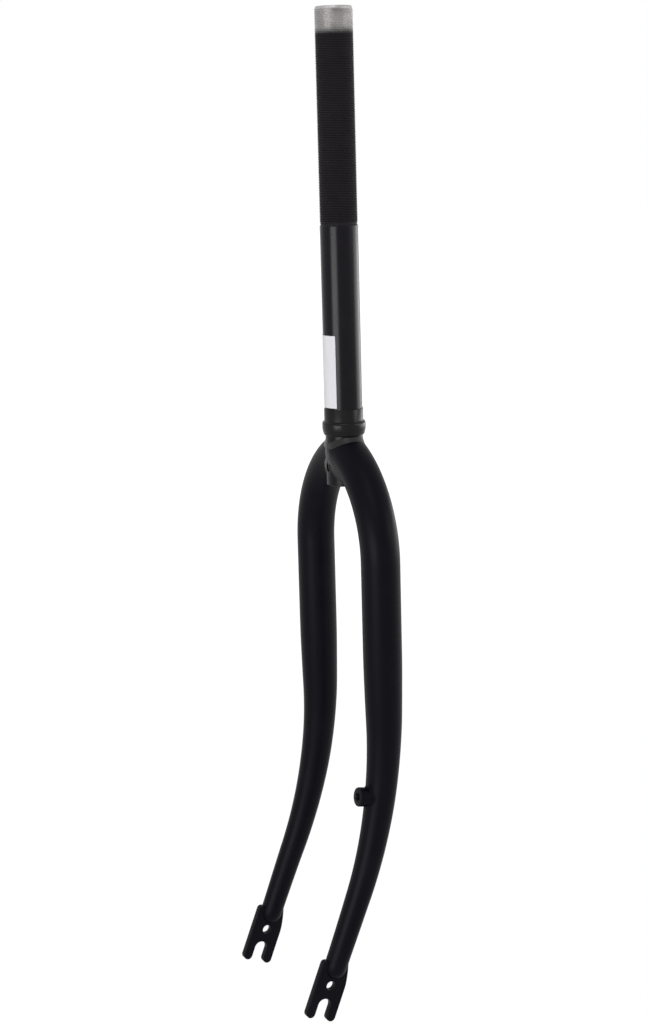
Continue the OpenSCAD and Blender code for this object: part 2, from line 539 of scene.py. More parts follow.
def skin(rings: Sequence[Sequence[Any]], wrap: bool) -> tuple[list[Any], list[list[int]]]:
    """Joins rings of equal length by quads, and closes both ends unless they wrap.

    Args:
        rings: Rings of points, each closed on itself.
        wrap: True if the last ring joins the first.

    Returns:
        The points and the faces.
    """
    count = len(rings[0])
    points = [p for ring in rings for p in ring]
    faces = []
    for i in range(len(rings) if wrap else len(rings) - 1):
        first = i * count
        second = (i + 1) % len(rings) * count
        for j in range(count):
            k = (j + 1) % count
            faces.append([first + j, first + k, second + k, second + j])
    if not wrap:
        faces.append(list(range(count)))
        last = (len(rings) - 1) * count
        faces.append([last + j for j in range(count)])
    return points, faces


def lathe(name: str, profile: Sequence[tuple[float, float]], steps: int = 192) -> bpy.types.Mesh:
    """Turns a closed profile round the Z axis.

    Args:
        name: The mesh's name.
        profile: Radius and height pairs, in millimetres.
        steps: The number of steps round.

    Returns:
        The mesh.
    """
    turns = [2 * math.pi * k / steps for k in range(steps)]
    rings = [[(r * math.cos(t), r * math.sin(t), z) for r, z in profile] for t in turns]
    return closed_mesh(name, *skin(rings, wrap=True))


def cut(mesh: bpy.types.Mesh, tools: Sequence[bpy.types.Mesh]) -> bpy.types.Mesh:
    """Takes tool meshes out of a mesh.

    Args:
        mesh: The mesh to cut.
        tools: Closed meshes in the same frame.

    Returns:
        The cut mesh.
    """
    body = new_object("cut_body", mesh)
    cutters = [new_object("cut_tool", tool) for tool in tools]
    for cutter in cutters:
        change = body.modifiers.new("cut", "BOOLEAN")
        change.operation = "DIFFERENCE"
        change.solver = "EXACT"
        change.object = cutter
    result = baked(body)
    for cutter in cutters:
        bpy.data.objects.remove(cutter)
    return result


def baked(source: bpy.types.Object) -> bpy.types.Mesh:
    """The plain mesh that an object and its modifiers make.

    Args:
        source: The object. It is removed.

    Returns:
        The mesh.
    """
    seen = source.evaluated_get(bpy.context.evaluated_depsgraph_get())
    mesh = bpy.data.meshes.new_from_object(seen)
    source.modifiers.clear()
    bpy.data.objects.remove(source)
    return mesh


class GeometryTree(Graph):
    """A geometry node group that is built in the script, with named inputs."""

    def __init__(self, name: str, inputs: dict[str, tuple[str, Any]]) -> None:
        """Starts a group.

        Args:
            name: The group's name.
            inputs: Socket types and values by name.
        """
        super().__init__(bpy.data.node_groups.new(name, "GeometryNodeTree"))
        face = self.tree.interface
        face.new_socket("Geometry", in_out="INPUT", socket_type="NodeSocketGeometry")
        self.named = {}
        for label, (kind, value) in inputs.items():
            socket = face.new_socket(label, in_out="INPUT", socket_type=kind)
            if value is not None:
                socket.default_value = value
            self.named[label] = socket.identifier
        face.new_socket("Geometry", in_out="OUTPUT", socket_type="NodeSocketGeometry")
        self.entry = self.add("NodeGroupInput")

    def given(self, label: str) -> Value:
        """One of the group's inputs, wrapped."""
        return Value(self, self.entry.outputs[label])

    def sweep(self, path: bpy.types.Node, scale: Value, profile: bpy.types.Node) -> bpy.types.NodeSocket:
        """Sweeps a profile along a curve.

        Args:
            path: The node that gives the curve.
            scale: The profile's scale along the curve.
            profile: The node that gives the profile.

        Returns:
            The swept geometry.
        """
        inputs = {"Curve": path.outputs[0], "Radius": scale}
        sized = self.add("GeometryNodeSetCurveRadius", None, inputs)
        inputs = {"Curve": sized.outputs[0], "Profile Curve": profile.outputs[0], "Fill Caps": True}
        swept = self.add("GeometryNodeCurveToMesh", None, inputs)
        if "Scale" in swept.inputs:
            self.feed(swept.inputs["Scale"], self.add("GeometryNodeInputRadius").outputs[0])
        return swept.outputs[0]

    def finish(self, geometry: bpy.types.NodeSocket) -> None:
        """Ends the group with smooth faces, real geometry and the finish.

        Args:
            geometry: The geometry so far.
        """
        smooth = self.add("GeometryNodeSetShadeSmooth", None, {0: geometry})
        real = self.add("GeometryNodeRealizeInstances", None, {0: smooth.outputs[0]})
        inputs = {"Geometry": real.outputs[0], "Material": self.entry.outputs["Finish"]}
        dressed = self.add("GeometryNodeSetMaterial", None, inputs)
        self.add("NodeGroupOutput", None, {0: dressed.outputs[0]})

    def run(self, source: bpy.types.Object, values: dict[str, Any]) -> bpy.types.Mesh:
        """Runs the group on an object and returns the plain mesh.

        Args:
            source: The object that carries the group. It is removed.
            values: The inputs' values by name.

        Returns:
            The mesh.
        """
        change = source.modifiers.new("nodes", "NODES")
        change.node_group = self.tree
        for label, value in values.items():
            change[self.named[label]] = value
        bpy.context.view_layer.update()
        return baked(source)


def thread_tree() -> GeometryTree:
    """The group that winds a thread: a ridge along a helix, trimmed by the keyway.

    Returns:
        The group.
    """
    number = "NodeSocketFloat"
    tree = GeometryTree(
        "wound_thread",
        {
            "Pitch": (number, 1.0),
            "Length": (number, 10.0),
            "Radius": (number, 10.0),
            "Ridge": (number, 0.5),
            "Start": (number, 0.0),
            "Steps": ("NodeSocketInt", 64),
            "Key Half Width": (number, 0.0),
            "Key Floor": (number, 1.0),
            "Finish": ("NodeSocketMaterial", None),
        },
    )
    turns = tree.given("Length") / tree.given("Pitch")
    spiral = tree.add(
        "GeometryNodeCurveSpiral",
        None,
        {
            "Resolution": tree.given("Steps"),
            "Rotations": turns,
            "Start Radius": tree.given("Radius"),
            "End Radius": tree.given("Radius"),
            "Height": tree.given("Length"),
        },
    )
    upright = tree.add("GeometryNodeSetCurveNormal", {"mode": "Z_UP"}, {0: spiral.outputs[0]})
    factor = Value(tree, tree.add("GeometryNodeSplineParameter").outputs["Factor"])
    run_in = 0.004
    end_size = 0.02
    taper = factor.above(0.0, run_in) * (1 - factor.above(1 - run_in, 1.0))
    inputs = {"Resolution": 4, "Radius": tree.given("Ridge")}
    ridge = tree.add("GeometryNodeCurvePrimitiveCircle", None, inputs)
    swept = tree.sweep(upright, taper + end_size, ridge)
    x, y, z = tree.split(tree.add("GeometryNodeInputPosition").outputs[0])
    in_key = x.math("ABSOLUTE").math("LESS_THAN", tree.given("Key Half Width"))
    in_key = in_key * y.math("GREATER_THAN", 0.0)
    lowered = y.math("MINIMUM", tree.given("Key Floor"))
    placed = tree.add(
        "ShaderNodeCombineXYZ",
        None,
        {0: x, 1: y + (lowered - y) * in_key, 2: z + tree.given("Start")},
    )
    moved = tree.add("GeometryNodeSetPosition", None, {0: swept, "Position": placed.outputs[0]})
    tree.finish(moved.outputs[0])
    return tree


def bead_tree() -> GeometryTree:
    """The group that lays a rippled weld bead along a path.

    Returns:
        The group.
    """
    number = "NodeSocketFloat"
    tree = GeometryTree(
        "weld_bead",
        {
            "Bead": (number, 1.0),
            "Ripple": (number, 1.0),
            "Step": (number, 0.3),
            "Swell": (number, 0.1),
            "Seed": ("NodeSocketInt", 0),
            "Finish": ("NodeSocketMaterial", None),
        },
    )
    fine = tree.add(
        "GeometryNodeResampleCurve",
        {"mode": "LENGTH"},
        {"Curve": tree.entry.outputs["Geometry"], "Length": tree.given("Step")},
    )
    length = Value(tree, tree.add("GeometryNodeSplineParameter").outputs["Length"])
    ripple = (length / tree.given("Ripple") * math.pi).math("SINE").math("ABSOLUTE")
    uneven = 0.03
    inputs = {2: -uneven, 3: uneven, "Seed": tree.given("Seed")}
    noise = tree.add("FunctionNodeRandomValue", {"data_type": "FLOAT"}, inputs)
    jitter = Value(tree, next(s for s in noise.outputs if s.enabled))
    radius = tree.given("Bead") * (1 + tree.given("Swell") * ripple + jitter)
    section = tree.add("GeometryNodeCurvePrimitiveCircle", None, {"Resolution": 12, "Radius": 1.0})
    tree.finish(tree.sweep(fine, radius, section))
    return tree


def add_loop(curve: bpy.types.Curve, points: Sequence[Any]) -> None:
    """Adds a closed run of straight lines to a curve.

    Args:
        curve: The curve.
        points: The corners, in millimetres.
    """
    line = curve.splines.new("POLY")
    line.points.add(len(points) - 1)
    for spot, (x, y, z) in zip(line.points, points):
        spot.co = (x * MM, y * MM, z * MM, 1.0)
    line.use_cyclic_u = True


@dataclass
class Steerer:
    """The hollow steerer tube with its wound thread, keyway and brake bolt hole. Millimetres."""

    radius: float = 12.7
    bore: float = mount_radius("stem_bore")
    top: float = 270.3
    bottom: float = -43.5
    thread_length: float = 140.0
    crest: float = mount_radius("steerer_thread")
    pitch: float = 1.0583
    keyway: float = 3.2
    key_depth: float = 0.8
    brake_hole_radius: float = mount_radius("brake_bolt_hole")
    brake_drop: float = -mount_place("brake_bolt_hole")[2]
    bare_length: float = 16.3
    bore_finish_depth: float = 0.5

    @property
    def finish(self) -> SteererFinish:
        """The finish, with its zones where the sizes put them."""
        start = (self.top - self.thread_length) * MM
        bare = (self.top - self.bare_length) * MM
        bore = (self.bore + self.bore_finish_depth) * MM
        return SteererFinish("steerer_finish", start, bare, bore, self.crest * MM)

    @property
    def root(self) -> float:
        """The radius at the thread's root."""
        return self.crest - self.pitch / 2

    def tube(self) -> bpy.types.Mesh:
        """The tube under the thread, with its keyway and brake bolt hole cut.

        Returns:
            The mesh.
        """
        start = self.top - self.thread_length
        soft = 0.35
        lip = 0.25
        lip_drop = 1.1
        bore_lip = 0.3
        profile = [
            (self.bore, self.bottom + soft),
            (self.bore + soft, self.bottom),
            (self.radius - soft, self.bottom),
            (self.radius, self.bottom + soft),
            (self.radius, start - soft),
            (self.radius - soft / 2, start - soft / 3),
            (self.root, start + soft),
            (self.root, self.top - lip_drop),
            (self.root - lip, self.top - lip),
            (self.root - 2 * lip, self.top),
            (self.bore + bore_lip, self.top),
            (self.bore, self.top - bore_lip),
        ]
        body = lathe("steerer", profile)
        floor = self.crest - self.key_depth
        clear = 5
        key = block(
            (-self.keyway / 2, floor, start),
            (self.keyway / 2, floor + clear, self.top + clear),
        )
        return cut(body, [key, self.drill()])

    def drill(self) -> bpy.types.Mesh:
        """The rod that the brake bolt hole is cut with, through the tube from front to back.

        Returns:
            The rod's mesh.
        """
        reach = 30
        radius = self.brake_hole_radius
        rod = lathe("drill", [(0, -reach), (radius, -reach), (radius, reach), (0, reach)], 48)
        rod.transform(Matrix.Rotation(math.pi / 2, 4, "X"))
        rod.transform(Matrix.Translation((0, 0, -self.brake_drop * MM)))
        return rod

    def thread(self) -> bpy.types.Mesh:
        """The wound ridge of the thread.

        Returns:
            The mesh.
        """
        source = new_object("thread_source", bpy.data.meshes.new("thread_source"))
        lead = 1.3
        key_clear = 0.05
        values = {
            "Pitch": self.pitch * MM,
            "Length": (self.thread_length - 2 * lead) * MM,
            "Radius": self.root * MM,
            "Ridge": self.pitch / 2 * MM,
            "Start": (self.top - self.thread_length + lead) * MM,
            "Steps": 96,
            "Key Half Width": self.keyway / 2 * MM,
            "Key Floor": (self.crest - self.key_depth - key_clear) * MM,
            "Finish": self.finish.material(),
        }
        return thread_tree().run(source, values)

    def build(self) -> None:
        tube = finished("steerer", self.tube(), self.finish)
        declared(tube, ["steerer_tube"])
        thread = finished("steerer_thread", self.thread(), self.finish)
        declared(thread)


def block(low: Point, high: Point) -> bpy.types.Mesh:
    """A box between two corners.

    Args:
        low: The lowest corner, in millimetres.
        high: The highest corner, in millimetres.

    Returns:
        The box's mesh.
    """
    across, along, up = zip(low, high)
    corners = [(x, y, z) for z in up for y in along for x in across]
    faces = [[0, 1, 3, 2], [4, 5, 7, 6], [0, 1, 5, 4], [2, 3, 7, 6], [0, 2, 6, 4], [1, 3, 7, 5]]
    return closed_mesh("block", corners, faces)


@dataclass
class RaceRing:
    """The seat and flange for the lower headset race. Millimetres."""

    inner: float = 12.6
    seat: float = mount_radius("crown_race_seat")
    seat_height: float = 8.5
    flange: float = 14.7
    flange_height: float = 9.0

    def build(self) -> None:
        # In each pair is how far a point stands in from its wall, and how far up from the base
        base = -self.flange_height
        lower_edge = ((1.6, -0.6), (0.9, 0.0), (0.25, 2.6), (0.0, 4.0))
        # In each pair is how far a point stands in from its wall, and how far below the edge's level
        upper_edge = ((0.0, 2.0), (0.1, 1.3), (0.35, 0.7), (0.75, 0.22), (1.1, 0.0))
        seat_foot = ((-0.35, 0.0), (-0.08, -0.12), (0.0, -0.4))
        seat_edge = ((0.0, 0.35), (0.12, 0.08), (0.4, 0.0))
        profile = [
            (self.inner, base + lower_edge[0][1]),
            *((self.flange - way_in, base + up) for way_in, up in lower_edge),
            *((self.flange - way_in, -down) for way_in, down in upper_edge),
            *((self.seat - way_in, -down) for way_in, down in seat_foot),
            *((self.seat - way_in, self.seat_height - down) for way_in, down in seat_edge),
            (self.inner, self.seat_height),
        ]
        ring = finished("crown_race_ring_skin", lathe("ring", profile), CROWN_PAINT)
        declared(ring, ["crown_race_ring"])


@dataclass(frozen=True)
class BladePath:
    """The centreline and radius of a blade, from the steerer to its tip. Millimetres and degrees."""

    radius: float = 13.1
    half_spacing: float = 49.0
    crown_radius: float = 75.0
    crown_drop: float = 90.5
    rake_start: float = 195.0
    rake_radius: float = 325.0
    rake_angle: float = 22.0
    spread: float = 3.5
    spread_length: float = 150.0
    axle_forward: float = -mount_place("axle_seat")[1]
    axle_drop: float = -mount_place("axle_seat")[2]
    taper: tuple[tuple[float, float], ...] = (
        (90, 13.1), (160, 13.1), (195, 12.35), (210, 11.75), (226, 11.2), (242, 10.75), (257, 10.35),
        (272, 9.8), (287, 9.35), (302, 8.9), (317, 8.55), (331, 8.2), (345, 8.0), (353, 7.85),
        (362, 7.72),
    )

    @property
    def bend_x(self) -> float:
        """Where the crown bend's centre is across the fork."""
        return self.half_spacing - self.crown_radius

    def radius_at(self, drop: float) -> float:
        """The blade's radius at a drop below the race seat.

        Args:
            drop: The drop.

        Returns:
            The radius, with the steps between the measured ones rounded off.
        """
        reach = 9.0
        samples = [self._straight(drop + reach * (k / 6 - 0.5) * 2) for k in range(7)]
        return sum(samples) / len(samples)

    def _straight(self, drop: float) -> float:
        """The radius between the two nearest measured ones.

        Args:
            drop: The drop below the race seat.

        Returns:
            The radius.
        """
        last = self.taper[0]
        for entry in self.taper:
            if entry[0] >= drop:
                gap = entry[0] - last[0]
                share = (drop - last[0]) / gap if gap and drop > last[0] else 0.0
                return last[1] + (entry[1] - last[1]) * share
            last = entry
        return last[1]

    def x_at(self, drop: float) -> float:
        """The centreline's distance from the middle plane at a drop."""
        share = max(0.0, min(1.0, (drop - self.rake_start) / self.spread_length))
        return self.half_spacing + self.spread * share * share * (3 - 2 * share)

    def bend_point(self, turn: float, radius: float, along: float) -> Point:
        """A point on the crown bend.

        Args:
            turn: The angle round the section, in radians.
            radius: The distance from the centreline.
            along: The angle along the bend, in radians.

        Returns:
            The point.
        """
        reach = self.crown_radius + radius * math.cos(turn)
        return (
            self.bend_x + reach * math.cos(along),
            radius * math.sin(turn),
            -self.crown_drop + reach * math.sin(along),
        )

    def bend_end(self, turn: float, radius: float, wall: float) -> float:
        """Where a line along the blade meets the steerer or the middle plane.

        Args:
            turn: The angle round the section, in radians.
            radius: The line's distance from the centreline.
            wall: The radius of the steerer's surface.

        Returns:
            The angle along the bend, in radians.
        """
        room = wall * wall - (radius * math.sin(turn)) ** 2
        x = math.sqrt(room) if room > 0 else 0.0
        return math.acos((x - self.bend_x) / (self.crown_radius + radius * math.cos(turn)))

    def station(
        self, forward: float, drop: float, slope: float, radius: float, steps: int
    ) -> list[Point]:
        """One ring round the raked part.

        Args:
            forward: The centre's forward offset.
            drop: The centre's drop.
            slope: The blade's slope there, in degrees.
            radius: The blade's radius there.
            steps: The number of points round.

        Returns:
            The ring's points.
        """
        lean = math.radians(slope)
        ring = []
        for k in range(steps):
            turn = 2 * math.pi * k / steps
            back = radius * math.sin(turn)
            ring.append(
                (
                    self.x_at(drop) + radius * math.cos(turn),
                    -forward + back * math.cos(lean),
                    -drop - back * math.sin(lean),
                )
            )
        return ring

    def tip_station(self, up: float, radius: float, steps: int) -> list[Point]:
        """One ring on the straight lower end.

        Args:
            up: The ring's height above the axle, along the blade.
            radius: The blade's radius there.
            steps: The number of points round.

        Returns:
            The ring's points.
        """
        lean = math.radians(self.rake_angle)
        forward = self.axle_forward - up * math.sin(lean)
        drop = self.axle_drop - up * math.cos(lean)
        return self.station(forward, drop, self.rake_angle, radius, steps)

    def axle_frame(self) -> Matrix:
        """The frame at the axle, with Z up along the blade's end, in metres."""
        place = Matrix.Translation((0, -self.axle_forward * MM, -self.axle_drop * MM))
        return place @ Matrix.Rotation(-math.radians(self.rake_angle), 4, "X")


@dataclass
class Blade:
    """One blade with its closed, rounded lower end. Millimetres."""

    side: Side
    path: BladePath = BladePath()
    steps: int = 96
    mitre: float = 12.3
    tip_up: float = 19.1
    dome: float = 12.0
    dome_power: float = 3.3
    straight_from: int = 104
    straight_step: int = 8

    def rings(self) -> list[list[Point]]:
        """All rings from the steerer to the tip.

        Returns:
            The rings.
        """
        path = self.path
        turns = [2 * math.pi * k / self.steps for k in range(self.steps)]
        rings = []
        cap_rings = 10
        for k in range(1, cap_rings):
            inner = path.radius * k / cap_rings
            ends = [path.bend_end(t, inner, self.mitre) for t in turns]
            rings.append([path.bend_point(t, inner, e) for t, e in zip(turns, ends)])
        bend_rings = 40
        ends = [path.bend_end(t, path.radius, self.mitre) for t in turns]
        for k in range(bend_rings + 1):
            share = 1 - k / bend_rings
            rings.append([path.bend_point(t, path.radius, e * share) for t, e in zip(turns, ends)])
        for drop in range(self.straight_from, int(path.rake_start), self.straight_step):
            rings.append(path.station(0, drop, 0, path.radius_at(drop), self.steps))
        arc_rings = 44
        for k in range(arc_rings + 1):
            slope = path.rake_angle * k / arc_rings
            lean = math.radians(slope)
            forward = path.rake_radius * (1 - math.cos(lean))
            drop = path.rake_start + path.rake_radius * math.sin(lean)
            rings.append(path.station(forward, drop, slope, path.radius_at(drop), self.steps))
        lean = math.radians(path.rake_angle)
        rake_drop = path.rake_start + path.rake_radius * math.sin(lean)
        start = (path.axle_drop - rake_drop) / math.cos(lean)
        dome_start = self.tip_up + self.dome
        straight = 12
        for k in range(1, straight + 1):
            up = start + (dome_start - start) * k / straight
            radius = path.radius_at(path.axle_drop - up * math.cos(lean))
            rings.append(path.tip_station(up, radius, self.steps))
        last = path.radius_at(path.axle_drop - dome_start * math.cos(lean))
        dome_rings = 18
        for k in range(1, dome_rings):
            share = math.sin(math.pi / 2 * k / dome_rings)
            radius = last * (1 - share**self.dome_power) ** 0.5
            rings.append(path.tip_station(dome_start - self.dome * share, radius, self.steps))
        return rings

    def build(self) -> None:
        name = f"{self.side.word}_blade"
        mesh = closed_mesh(name, *skin(self.rings(), wrap=False))
        if self.side is Side.RIGHT:
            mirrored(mesh)
        blade = finished(f"{name}_skin", mesh, GlossPaint())
        declared(blade, [name])


def mirrored(mesh: bpy.types.Mesh) -> None:
    """Turns a mesh into its mirror image across the middle plane, with its normals still outwards."""
    mesh.transform(Matrix.Diagonal((-1, 1, 1, 1)))
    mesh.flip_normals()


@dataclass
class Dropout:
    """One slotted plate at the end of a blade. Millimetres."""

    side: Side
    path: BladePath = BladePath()
    middle_x: float = mount_place("left_eye")[0]
    thickness: float = 5.0
    slot_radius: float = mount_radius("axle_seat")
    prong: float = 6.4
    prong_length: float = 10.2
    eye_radius: float = mount_radius("left_eye")
    eye_up: float = 14.2
    edge: float = 0.45
    neck: float = 6.8
    neck_top: float = 41.0
    flank_low: float = 15.0
    flank_rise: float = 20.0
    shoulder: float = 2.6
    shoulder_low: float = 27.7
    shoulder_top: float = 30.9

    def outline(self) -> list[tuple[float, float]]:
        """The plate's outline with its slot, rearwards and up from the axle.

        Returns:
            The outline's points.
        """
        inner = self.slot_radius
        half = self.prong / 2
        outer = inner + self.prong
        low = half - self.prong_length
        steps = 16
        half_turn = [math.pi * k / steps for k in range(steps + 1)]
        rear_prong, front_prong = (
            [(middle + half * math.cos(a), low - half * math.sin(a)) for a in half_turn]
            for middle in (inner + half, -inner - half)
        )
        slot = [(inner * math.cos(a), inner * math.sin(a)) for a in half_turn]
        corner = [
            (
                -outer + self.shoulder - self.shoulder * math.cos(a / 2),
                self.shoulder_low + self.shoulder * math.sin(a / 2),
            )
            for a in half_turn
        ]
        rise = 10
        flank_power = 1.5
        shares = [k / rise for k in range(1, rise + 1)]
        flank = [
            (outer - (outer - self.neck) * s**flank_power, self.flank_low + self.flank_rise * s)
            for s in shares
        ]
        return [
            (self.neck, self.neck_top),
            *reversed(flank),
            (outer, self.flank_low),
            *rear_prong,
            *slot,
            *front_prong,
            *corner,
            (-self.neck, self.shoulder_top),
            (-self.neck, self.neck_top),
        ]

    def build(self) -> None:
        name = f"{self.side.word}_dropout"
        curve = bpy.data.curves.new(name, "CURVE")
        curve.dimensions = "2D"
        curve.fill_mode = "BOTH"
        curve.extrude = (self.thickness / 2 - self.edge) * MM
        curve.bevel_depth = self.edge * MM
        curve.offset = -self.edge * MM
        curve.bevel_resolution = 3
        eye_steps = 40
        turns = [2 * math.pi * k / eye_steps for k in range(eye_steps)]
        hole = self.eye_radius
        eye = [(hole * math.cos(t), self.eye_up + hole * math.sin(t)) for t in turns]
        for points in (self.outline(), eye):
            add_loop(curve, [(rearwards, up, 0.0) for rearwards, up in points])
        source = new_object(name, curve)
        bpy.context.view_layer.update()
        mesh = baked(source)
        stand = Matrix(((0, 0, 1, self.middle_x * MM), (1, 0, 0, 0), (0, 1, 0, 0), (0, 0, 0, 1)))
        mesh.transform(self.path.axle_frame() @ stand)
        sealed(mesh, gap=1e-6)
        if self.side is Side.RIGHT:
            mirrored(mesh)
        plate = finished(f"{name}_skin", mesh, GlossPaint())
        declared(plate, [name])


@dataclass
class CrownWeld:
    """The filleted weld round the upper end of a blade. Millimetres."""

    side: Side
    path: BladePath = BladePath()
    wall: float = 12.7
    middle: float = -26.0
    rise: float = 0.34
    fullness: float = 0.6
    ripple: float = 2.6
    ripple_least: float = 0.88
    ripple_more: float = 0.24
    depth: float = 1.2
    sunk: float = 0.04
    hollow: float = 0.25
    steps: int = 240
    strips: int = 10
    legs: tuple[tuple[float, float, float], ...] = (
        (0, 1.8, 3.0), (40, 2.0, 3.0), (75, 2.6, 3.2), (105, 3.6, 3.6), (135, 3.6, 3.4),
        (160, 2.2, 2.8), (180, 1.2, 2.2),
    )

    def reach(self, turn: float) -> tuple[float, float]:
        """How far the weld goes over the steerer and over the blade.

        Args:
            turn: The place round the blade, in radians.

        Returns:
            Both distances.
        """
        spot = abs((math.degrees(turn) + 180) % 360 - 180)
        for low, high in zip(self.legs, self.legs[1:]):
            if spot <= high[0]:
                share = (spot - low[0]) / (high[0] - low[0])
                return low[1] + (high[1] - low[1]) * share, low[2] + (high[2] - low[2]) * share
        return self.legs[-1][1], self.legs[-1][2]

    def root(self, turn: float) -> Vector:
        """Where the blade's skin meets the steerer or the other blade."""
        end = self.path.bend_end(turn, self.path.radius, self.wall)
        return Vector(self.path.bend_point(turn, self.path.radius, end))

    def unrolled(self, turn: float) -> Vector:
        """The root on the steerer's skin laid flat: its way round and its height."""
        root = self.root(turn)
        return Vector((self.wall * math.atan2(root.y, root.x), root.z))

    def steerer_foot(self, turn: float, leg: float) -> tuple[Vector, float]:
        """The weld's edge on the steerer, which stops at the middle plane.

        Args:
            turn: The place round the blade, in radians.
            leg: The distance from the root.

        Returns:
            The edge's point, and how much of the distance the middle plane cuts off.
        """
        step = 0.02
        flat = self.unrolled(turn)
        along = self.unrolled(turn + step) - self.unrolled(turn - step)
        away = Vector((along.y, -along.x)).normalized()
        if away.dot(flat - Vector((0, self.middle))) < 0:
            away = -away
        limit = self.wall * math.pi / 2
        goal = flat + away * leg
        held = max(-limit, min(limit, goal.x))
        lost = min(1.0, abs(goal.x - held) / leg)
        out = (1 - lost) * (self.wall - self.sunk) + lost * max(self.wall, abs(self.root(turn).y))
        angle = held / self.wall
        return Vector((out * math.cos(angle), out * math.sin(angle), goal.y)), lost

    def section(self, turn: float, run: float) -> list[Vector]:
        """One closed section through the weld.

        Args:
            turn: The place round the blade, in radians.
            run: The length of weld up to here, which sets the ripple.

        Returns:
            The section's points.
        """
        path = self.path
        over_steerer, over_blade = self.reach(turn)
        root = self.root(turn)
        end = path.bend_end(turn, path.radius, self.wall)
        bend = path.crown_radius + path.radius * math.cos(turn)
        blade_foot = Vector(path.bend_point(turn, path.radius - self.sunk, end - over_blade / bend))
        steerer_foot, lost = self.steerer_foot(turn, over_steerer)
        blade_out = Vector(path.bend_point(turn, path.radius + 1, end)) - root
        steerer_out = Vector((root.x, root.y, 0)).normalized()
        out = (blade_out + steerer_out).normalized()
        corner = root + ((blade_foot + steerer_foot) / 2 - root) * self.hollow
        wave = self.ripple_least + self.ripple_more * abs(math.sin(math.pi * run / self.ripple))
        points = []
        for k in range(self.strips + 1):
            s = k / self.strips
            spot = blade_foot * (1 - s) ** 2 + corner * (2 * s * (1 - s)) + steerer_foot * s**2
            ends = math.sin(math.pi * min(s, 1 - s)) ** self.fullness
            lift = (1 - lost) * ends + lost * math.sin(math.pi * s / 2) ** self.fullness
            points.append(spot + out * (self.rise * lift * wave))
        points.append(root - out * self.depth)
        return points

    def build(self) -> None:
        name = f"{self.side.word}_crown_weld"
        run = 0.0
        before = self.root(0.0)
        sections = []
        for k in range(self.steps):
            turn = 2 * math.pi * k / self.steps
            here = self.root(turn)
            run += (here - before).length
            before = here
            sections.append(self.section(turn, run))
        mesh = cut(closed_mesh(name, *skin(sections, wrap=True)), [Steerer().drill()])
        if self.side is Side.RIGHT:
            mirrored(mesh)
        bead = finished(f"{name}_bead", mesh, WELD_PAINT)
        declared(bead, [name])


@dataclass
class LampBoss:
    """The round tapped boss on the front of the left blade. Millimetres."""

    path: BladePath = BladePath()
    drop: float = 251.0
    blade_radius: float = 10.5
    height: float = 6.5
    radius: float = 6.5
    hole: float = 2.5
    proud: float = 0.15
    pitch: float = 0.8
    thread_radius: float = 2.62
    thread_length: float = 5.0
    thread_foot: float = 5.9
    finish: GlossPaint = GlossPaint()

    @property
    def top(self) -> float:
        """The distance of the boss's face from the blade's centreline."""
        return self.blade_radius + self.height + self.proud

    def frame(self) -> Matrix:
        """The frame of the boss, with Z forwards out of it.

        Returns:
            The frame, in metres.
        """
        lean = math.asin((self.drop - self.path.rake_start) / self.path.rake_radius)
        forward = self.path.rake_radius * (1 - math.cos(lean))
        place = Matrix.Translation(
            (self.path.x_at(self.drop) * MM, -forward * MM, -self.drop * MM)
        )
        return place @ Matrix.Rotation(-lean, 4, "X") @ Matrix.Rotation(math.pi / 2, 4, "X")

    def body(self) -> bpy.types.Mesh:
        """The boss with its blind hole.

        Returns:
            The mesh.
        """
        soft = 0.7
        nick = 0.2
        sink = 0.6
        sunk_foot = 6.0
        hole_depth = 6.0
        hole_point = 7.2
        profile = [
            (0, sunk_foot),
            (self.radius, sunk_foot),
            (self.radius, self.top - soft),
            (self.radius - nick, self.top - nick),
            (self.radius - soft, self.top),
            (self.hole + sink, self.top),
            (self.hole, self.top - sink),
            (self.hole, self.top - hole_depth),
            (0, self.top - hole_point),
        ]
        mesh = lathe("lamp_boss", profile, 96)
        mesh.transform(self.frame())
        return mesh

    def thread(self) -> bpy.types.Mesh:
        """The thread in the hole.

        Returns:
            The mesh.
        """
        source = new_object("boss_thread", bpy.data.meshes.new("boss_thread"))
        values = {
            "Pitch": self.pitch * MM,
            "Length": self.thread_length * MM,
            "Radius": self.thread_radius * MM,
            "Ridge": self.pitch / 2 * MM,
            "Start": (self.top - self.thread_foot) * MM,
            "Steps": 48,
            "Key Half Width": 0.0,
            "Key Floor": 1.0,
            "Finish": self.finish.material(),
        }
        wound = thread_tree().run(source, values)
        wound.transform(self.frame())
        return wound

    def bead(self) -> bpy.types.Mesh:
        """The weld bead where the boss meets the blade.

        Returns:
            The mesh.
        """
        steps = 96
        reach = self.radius + 0.1
        points = []
        for k in range(steps):
            turn = 2 * math.pi * k / steps
            across = reach * math.cos(turn)
            along = reach * math.sin(turn)
            out = math.sqrt(self.blade_radius**2 - across**2)
            points.append(self.frame() @ Vector((across * MM, along * MM, out * MM)) / MM)
        curve = bpy.data.curves.new("boss_weld", "CURVE")
        curve.dimensions = "3D"
        add_loop(curve, points)
        values = {
            "Bead": 0.85 * MM,
            "Ripple": 1.3 * MM,
            "Step": 0.25 * MM,
            "Swell": 0.15,
            "Seed": 8,
            "Finish": self.finish.material(),
        }
        return bead_tree().run(new_object("boss_weld", curve), values)

    def build(self) -> None:
        boss = finished("lamp_boss_skin", self.body(), self.finish)
        declared(boss, ["lamp_boss"])
        declared(finished("lamp_boss_thread", self.thread(), self.finish))
        declared(finished("lamp_boss_bead", self.bead(), self.finish))


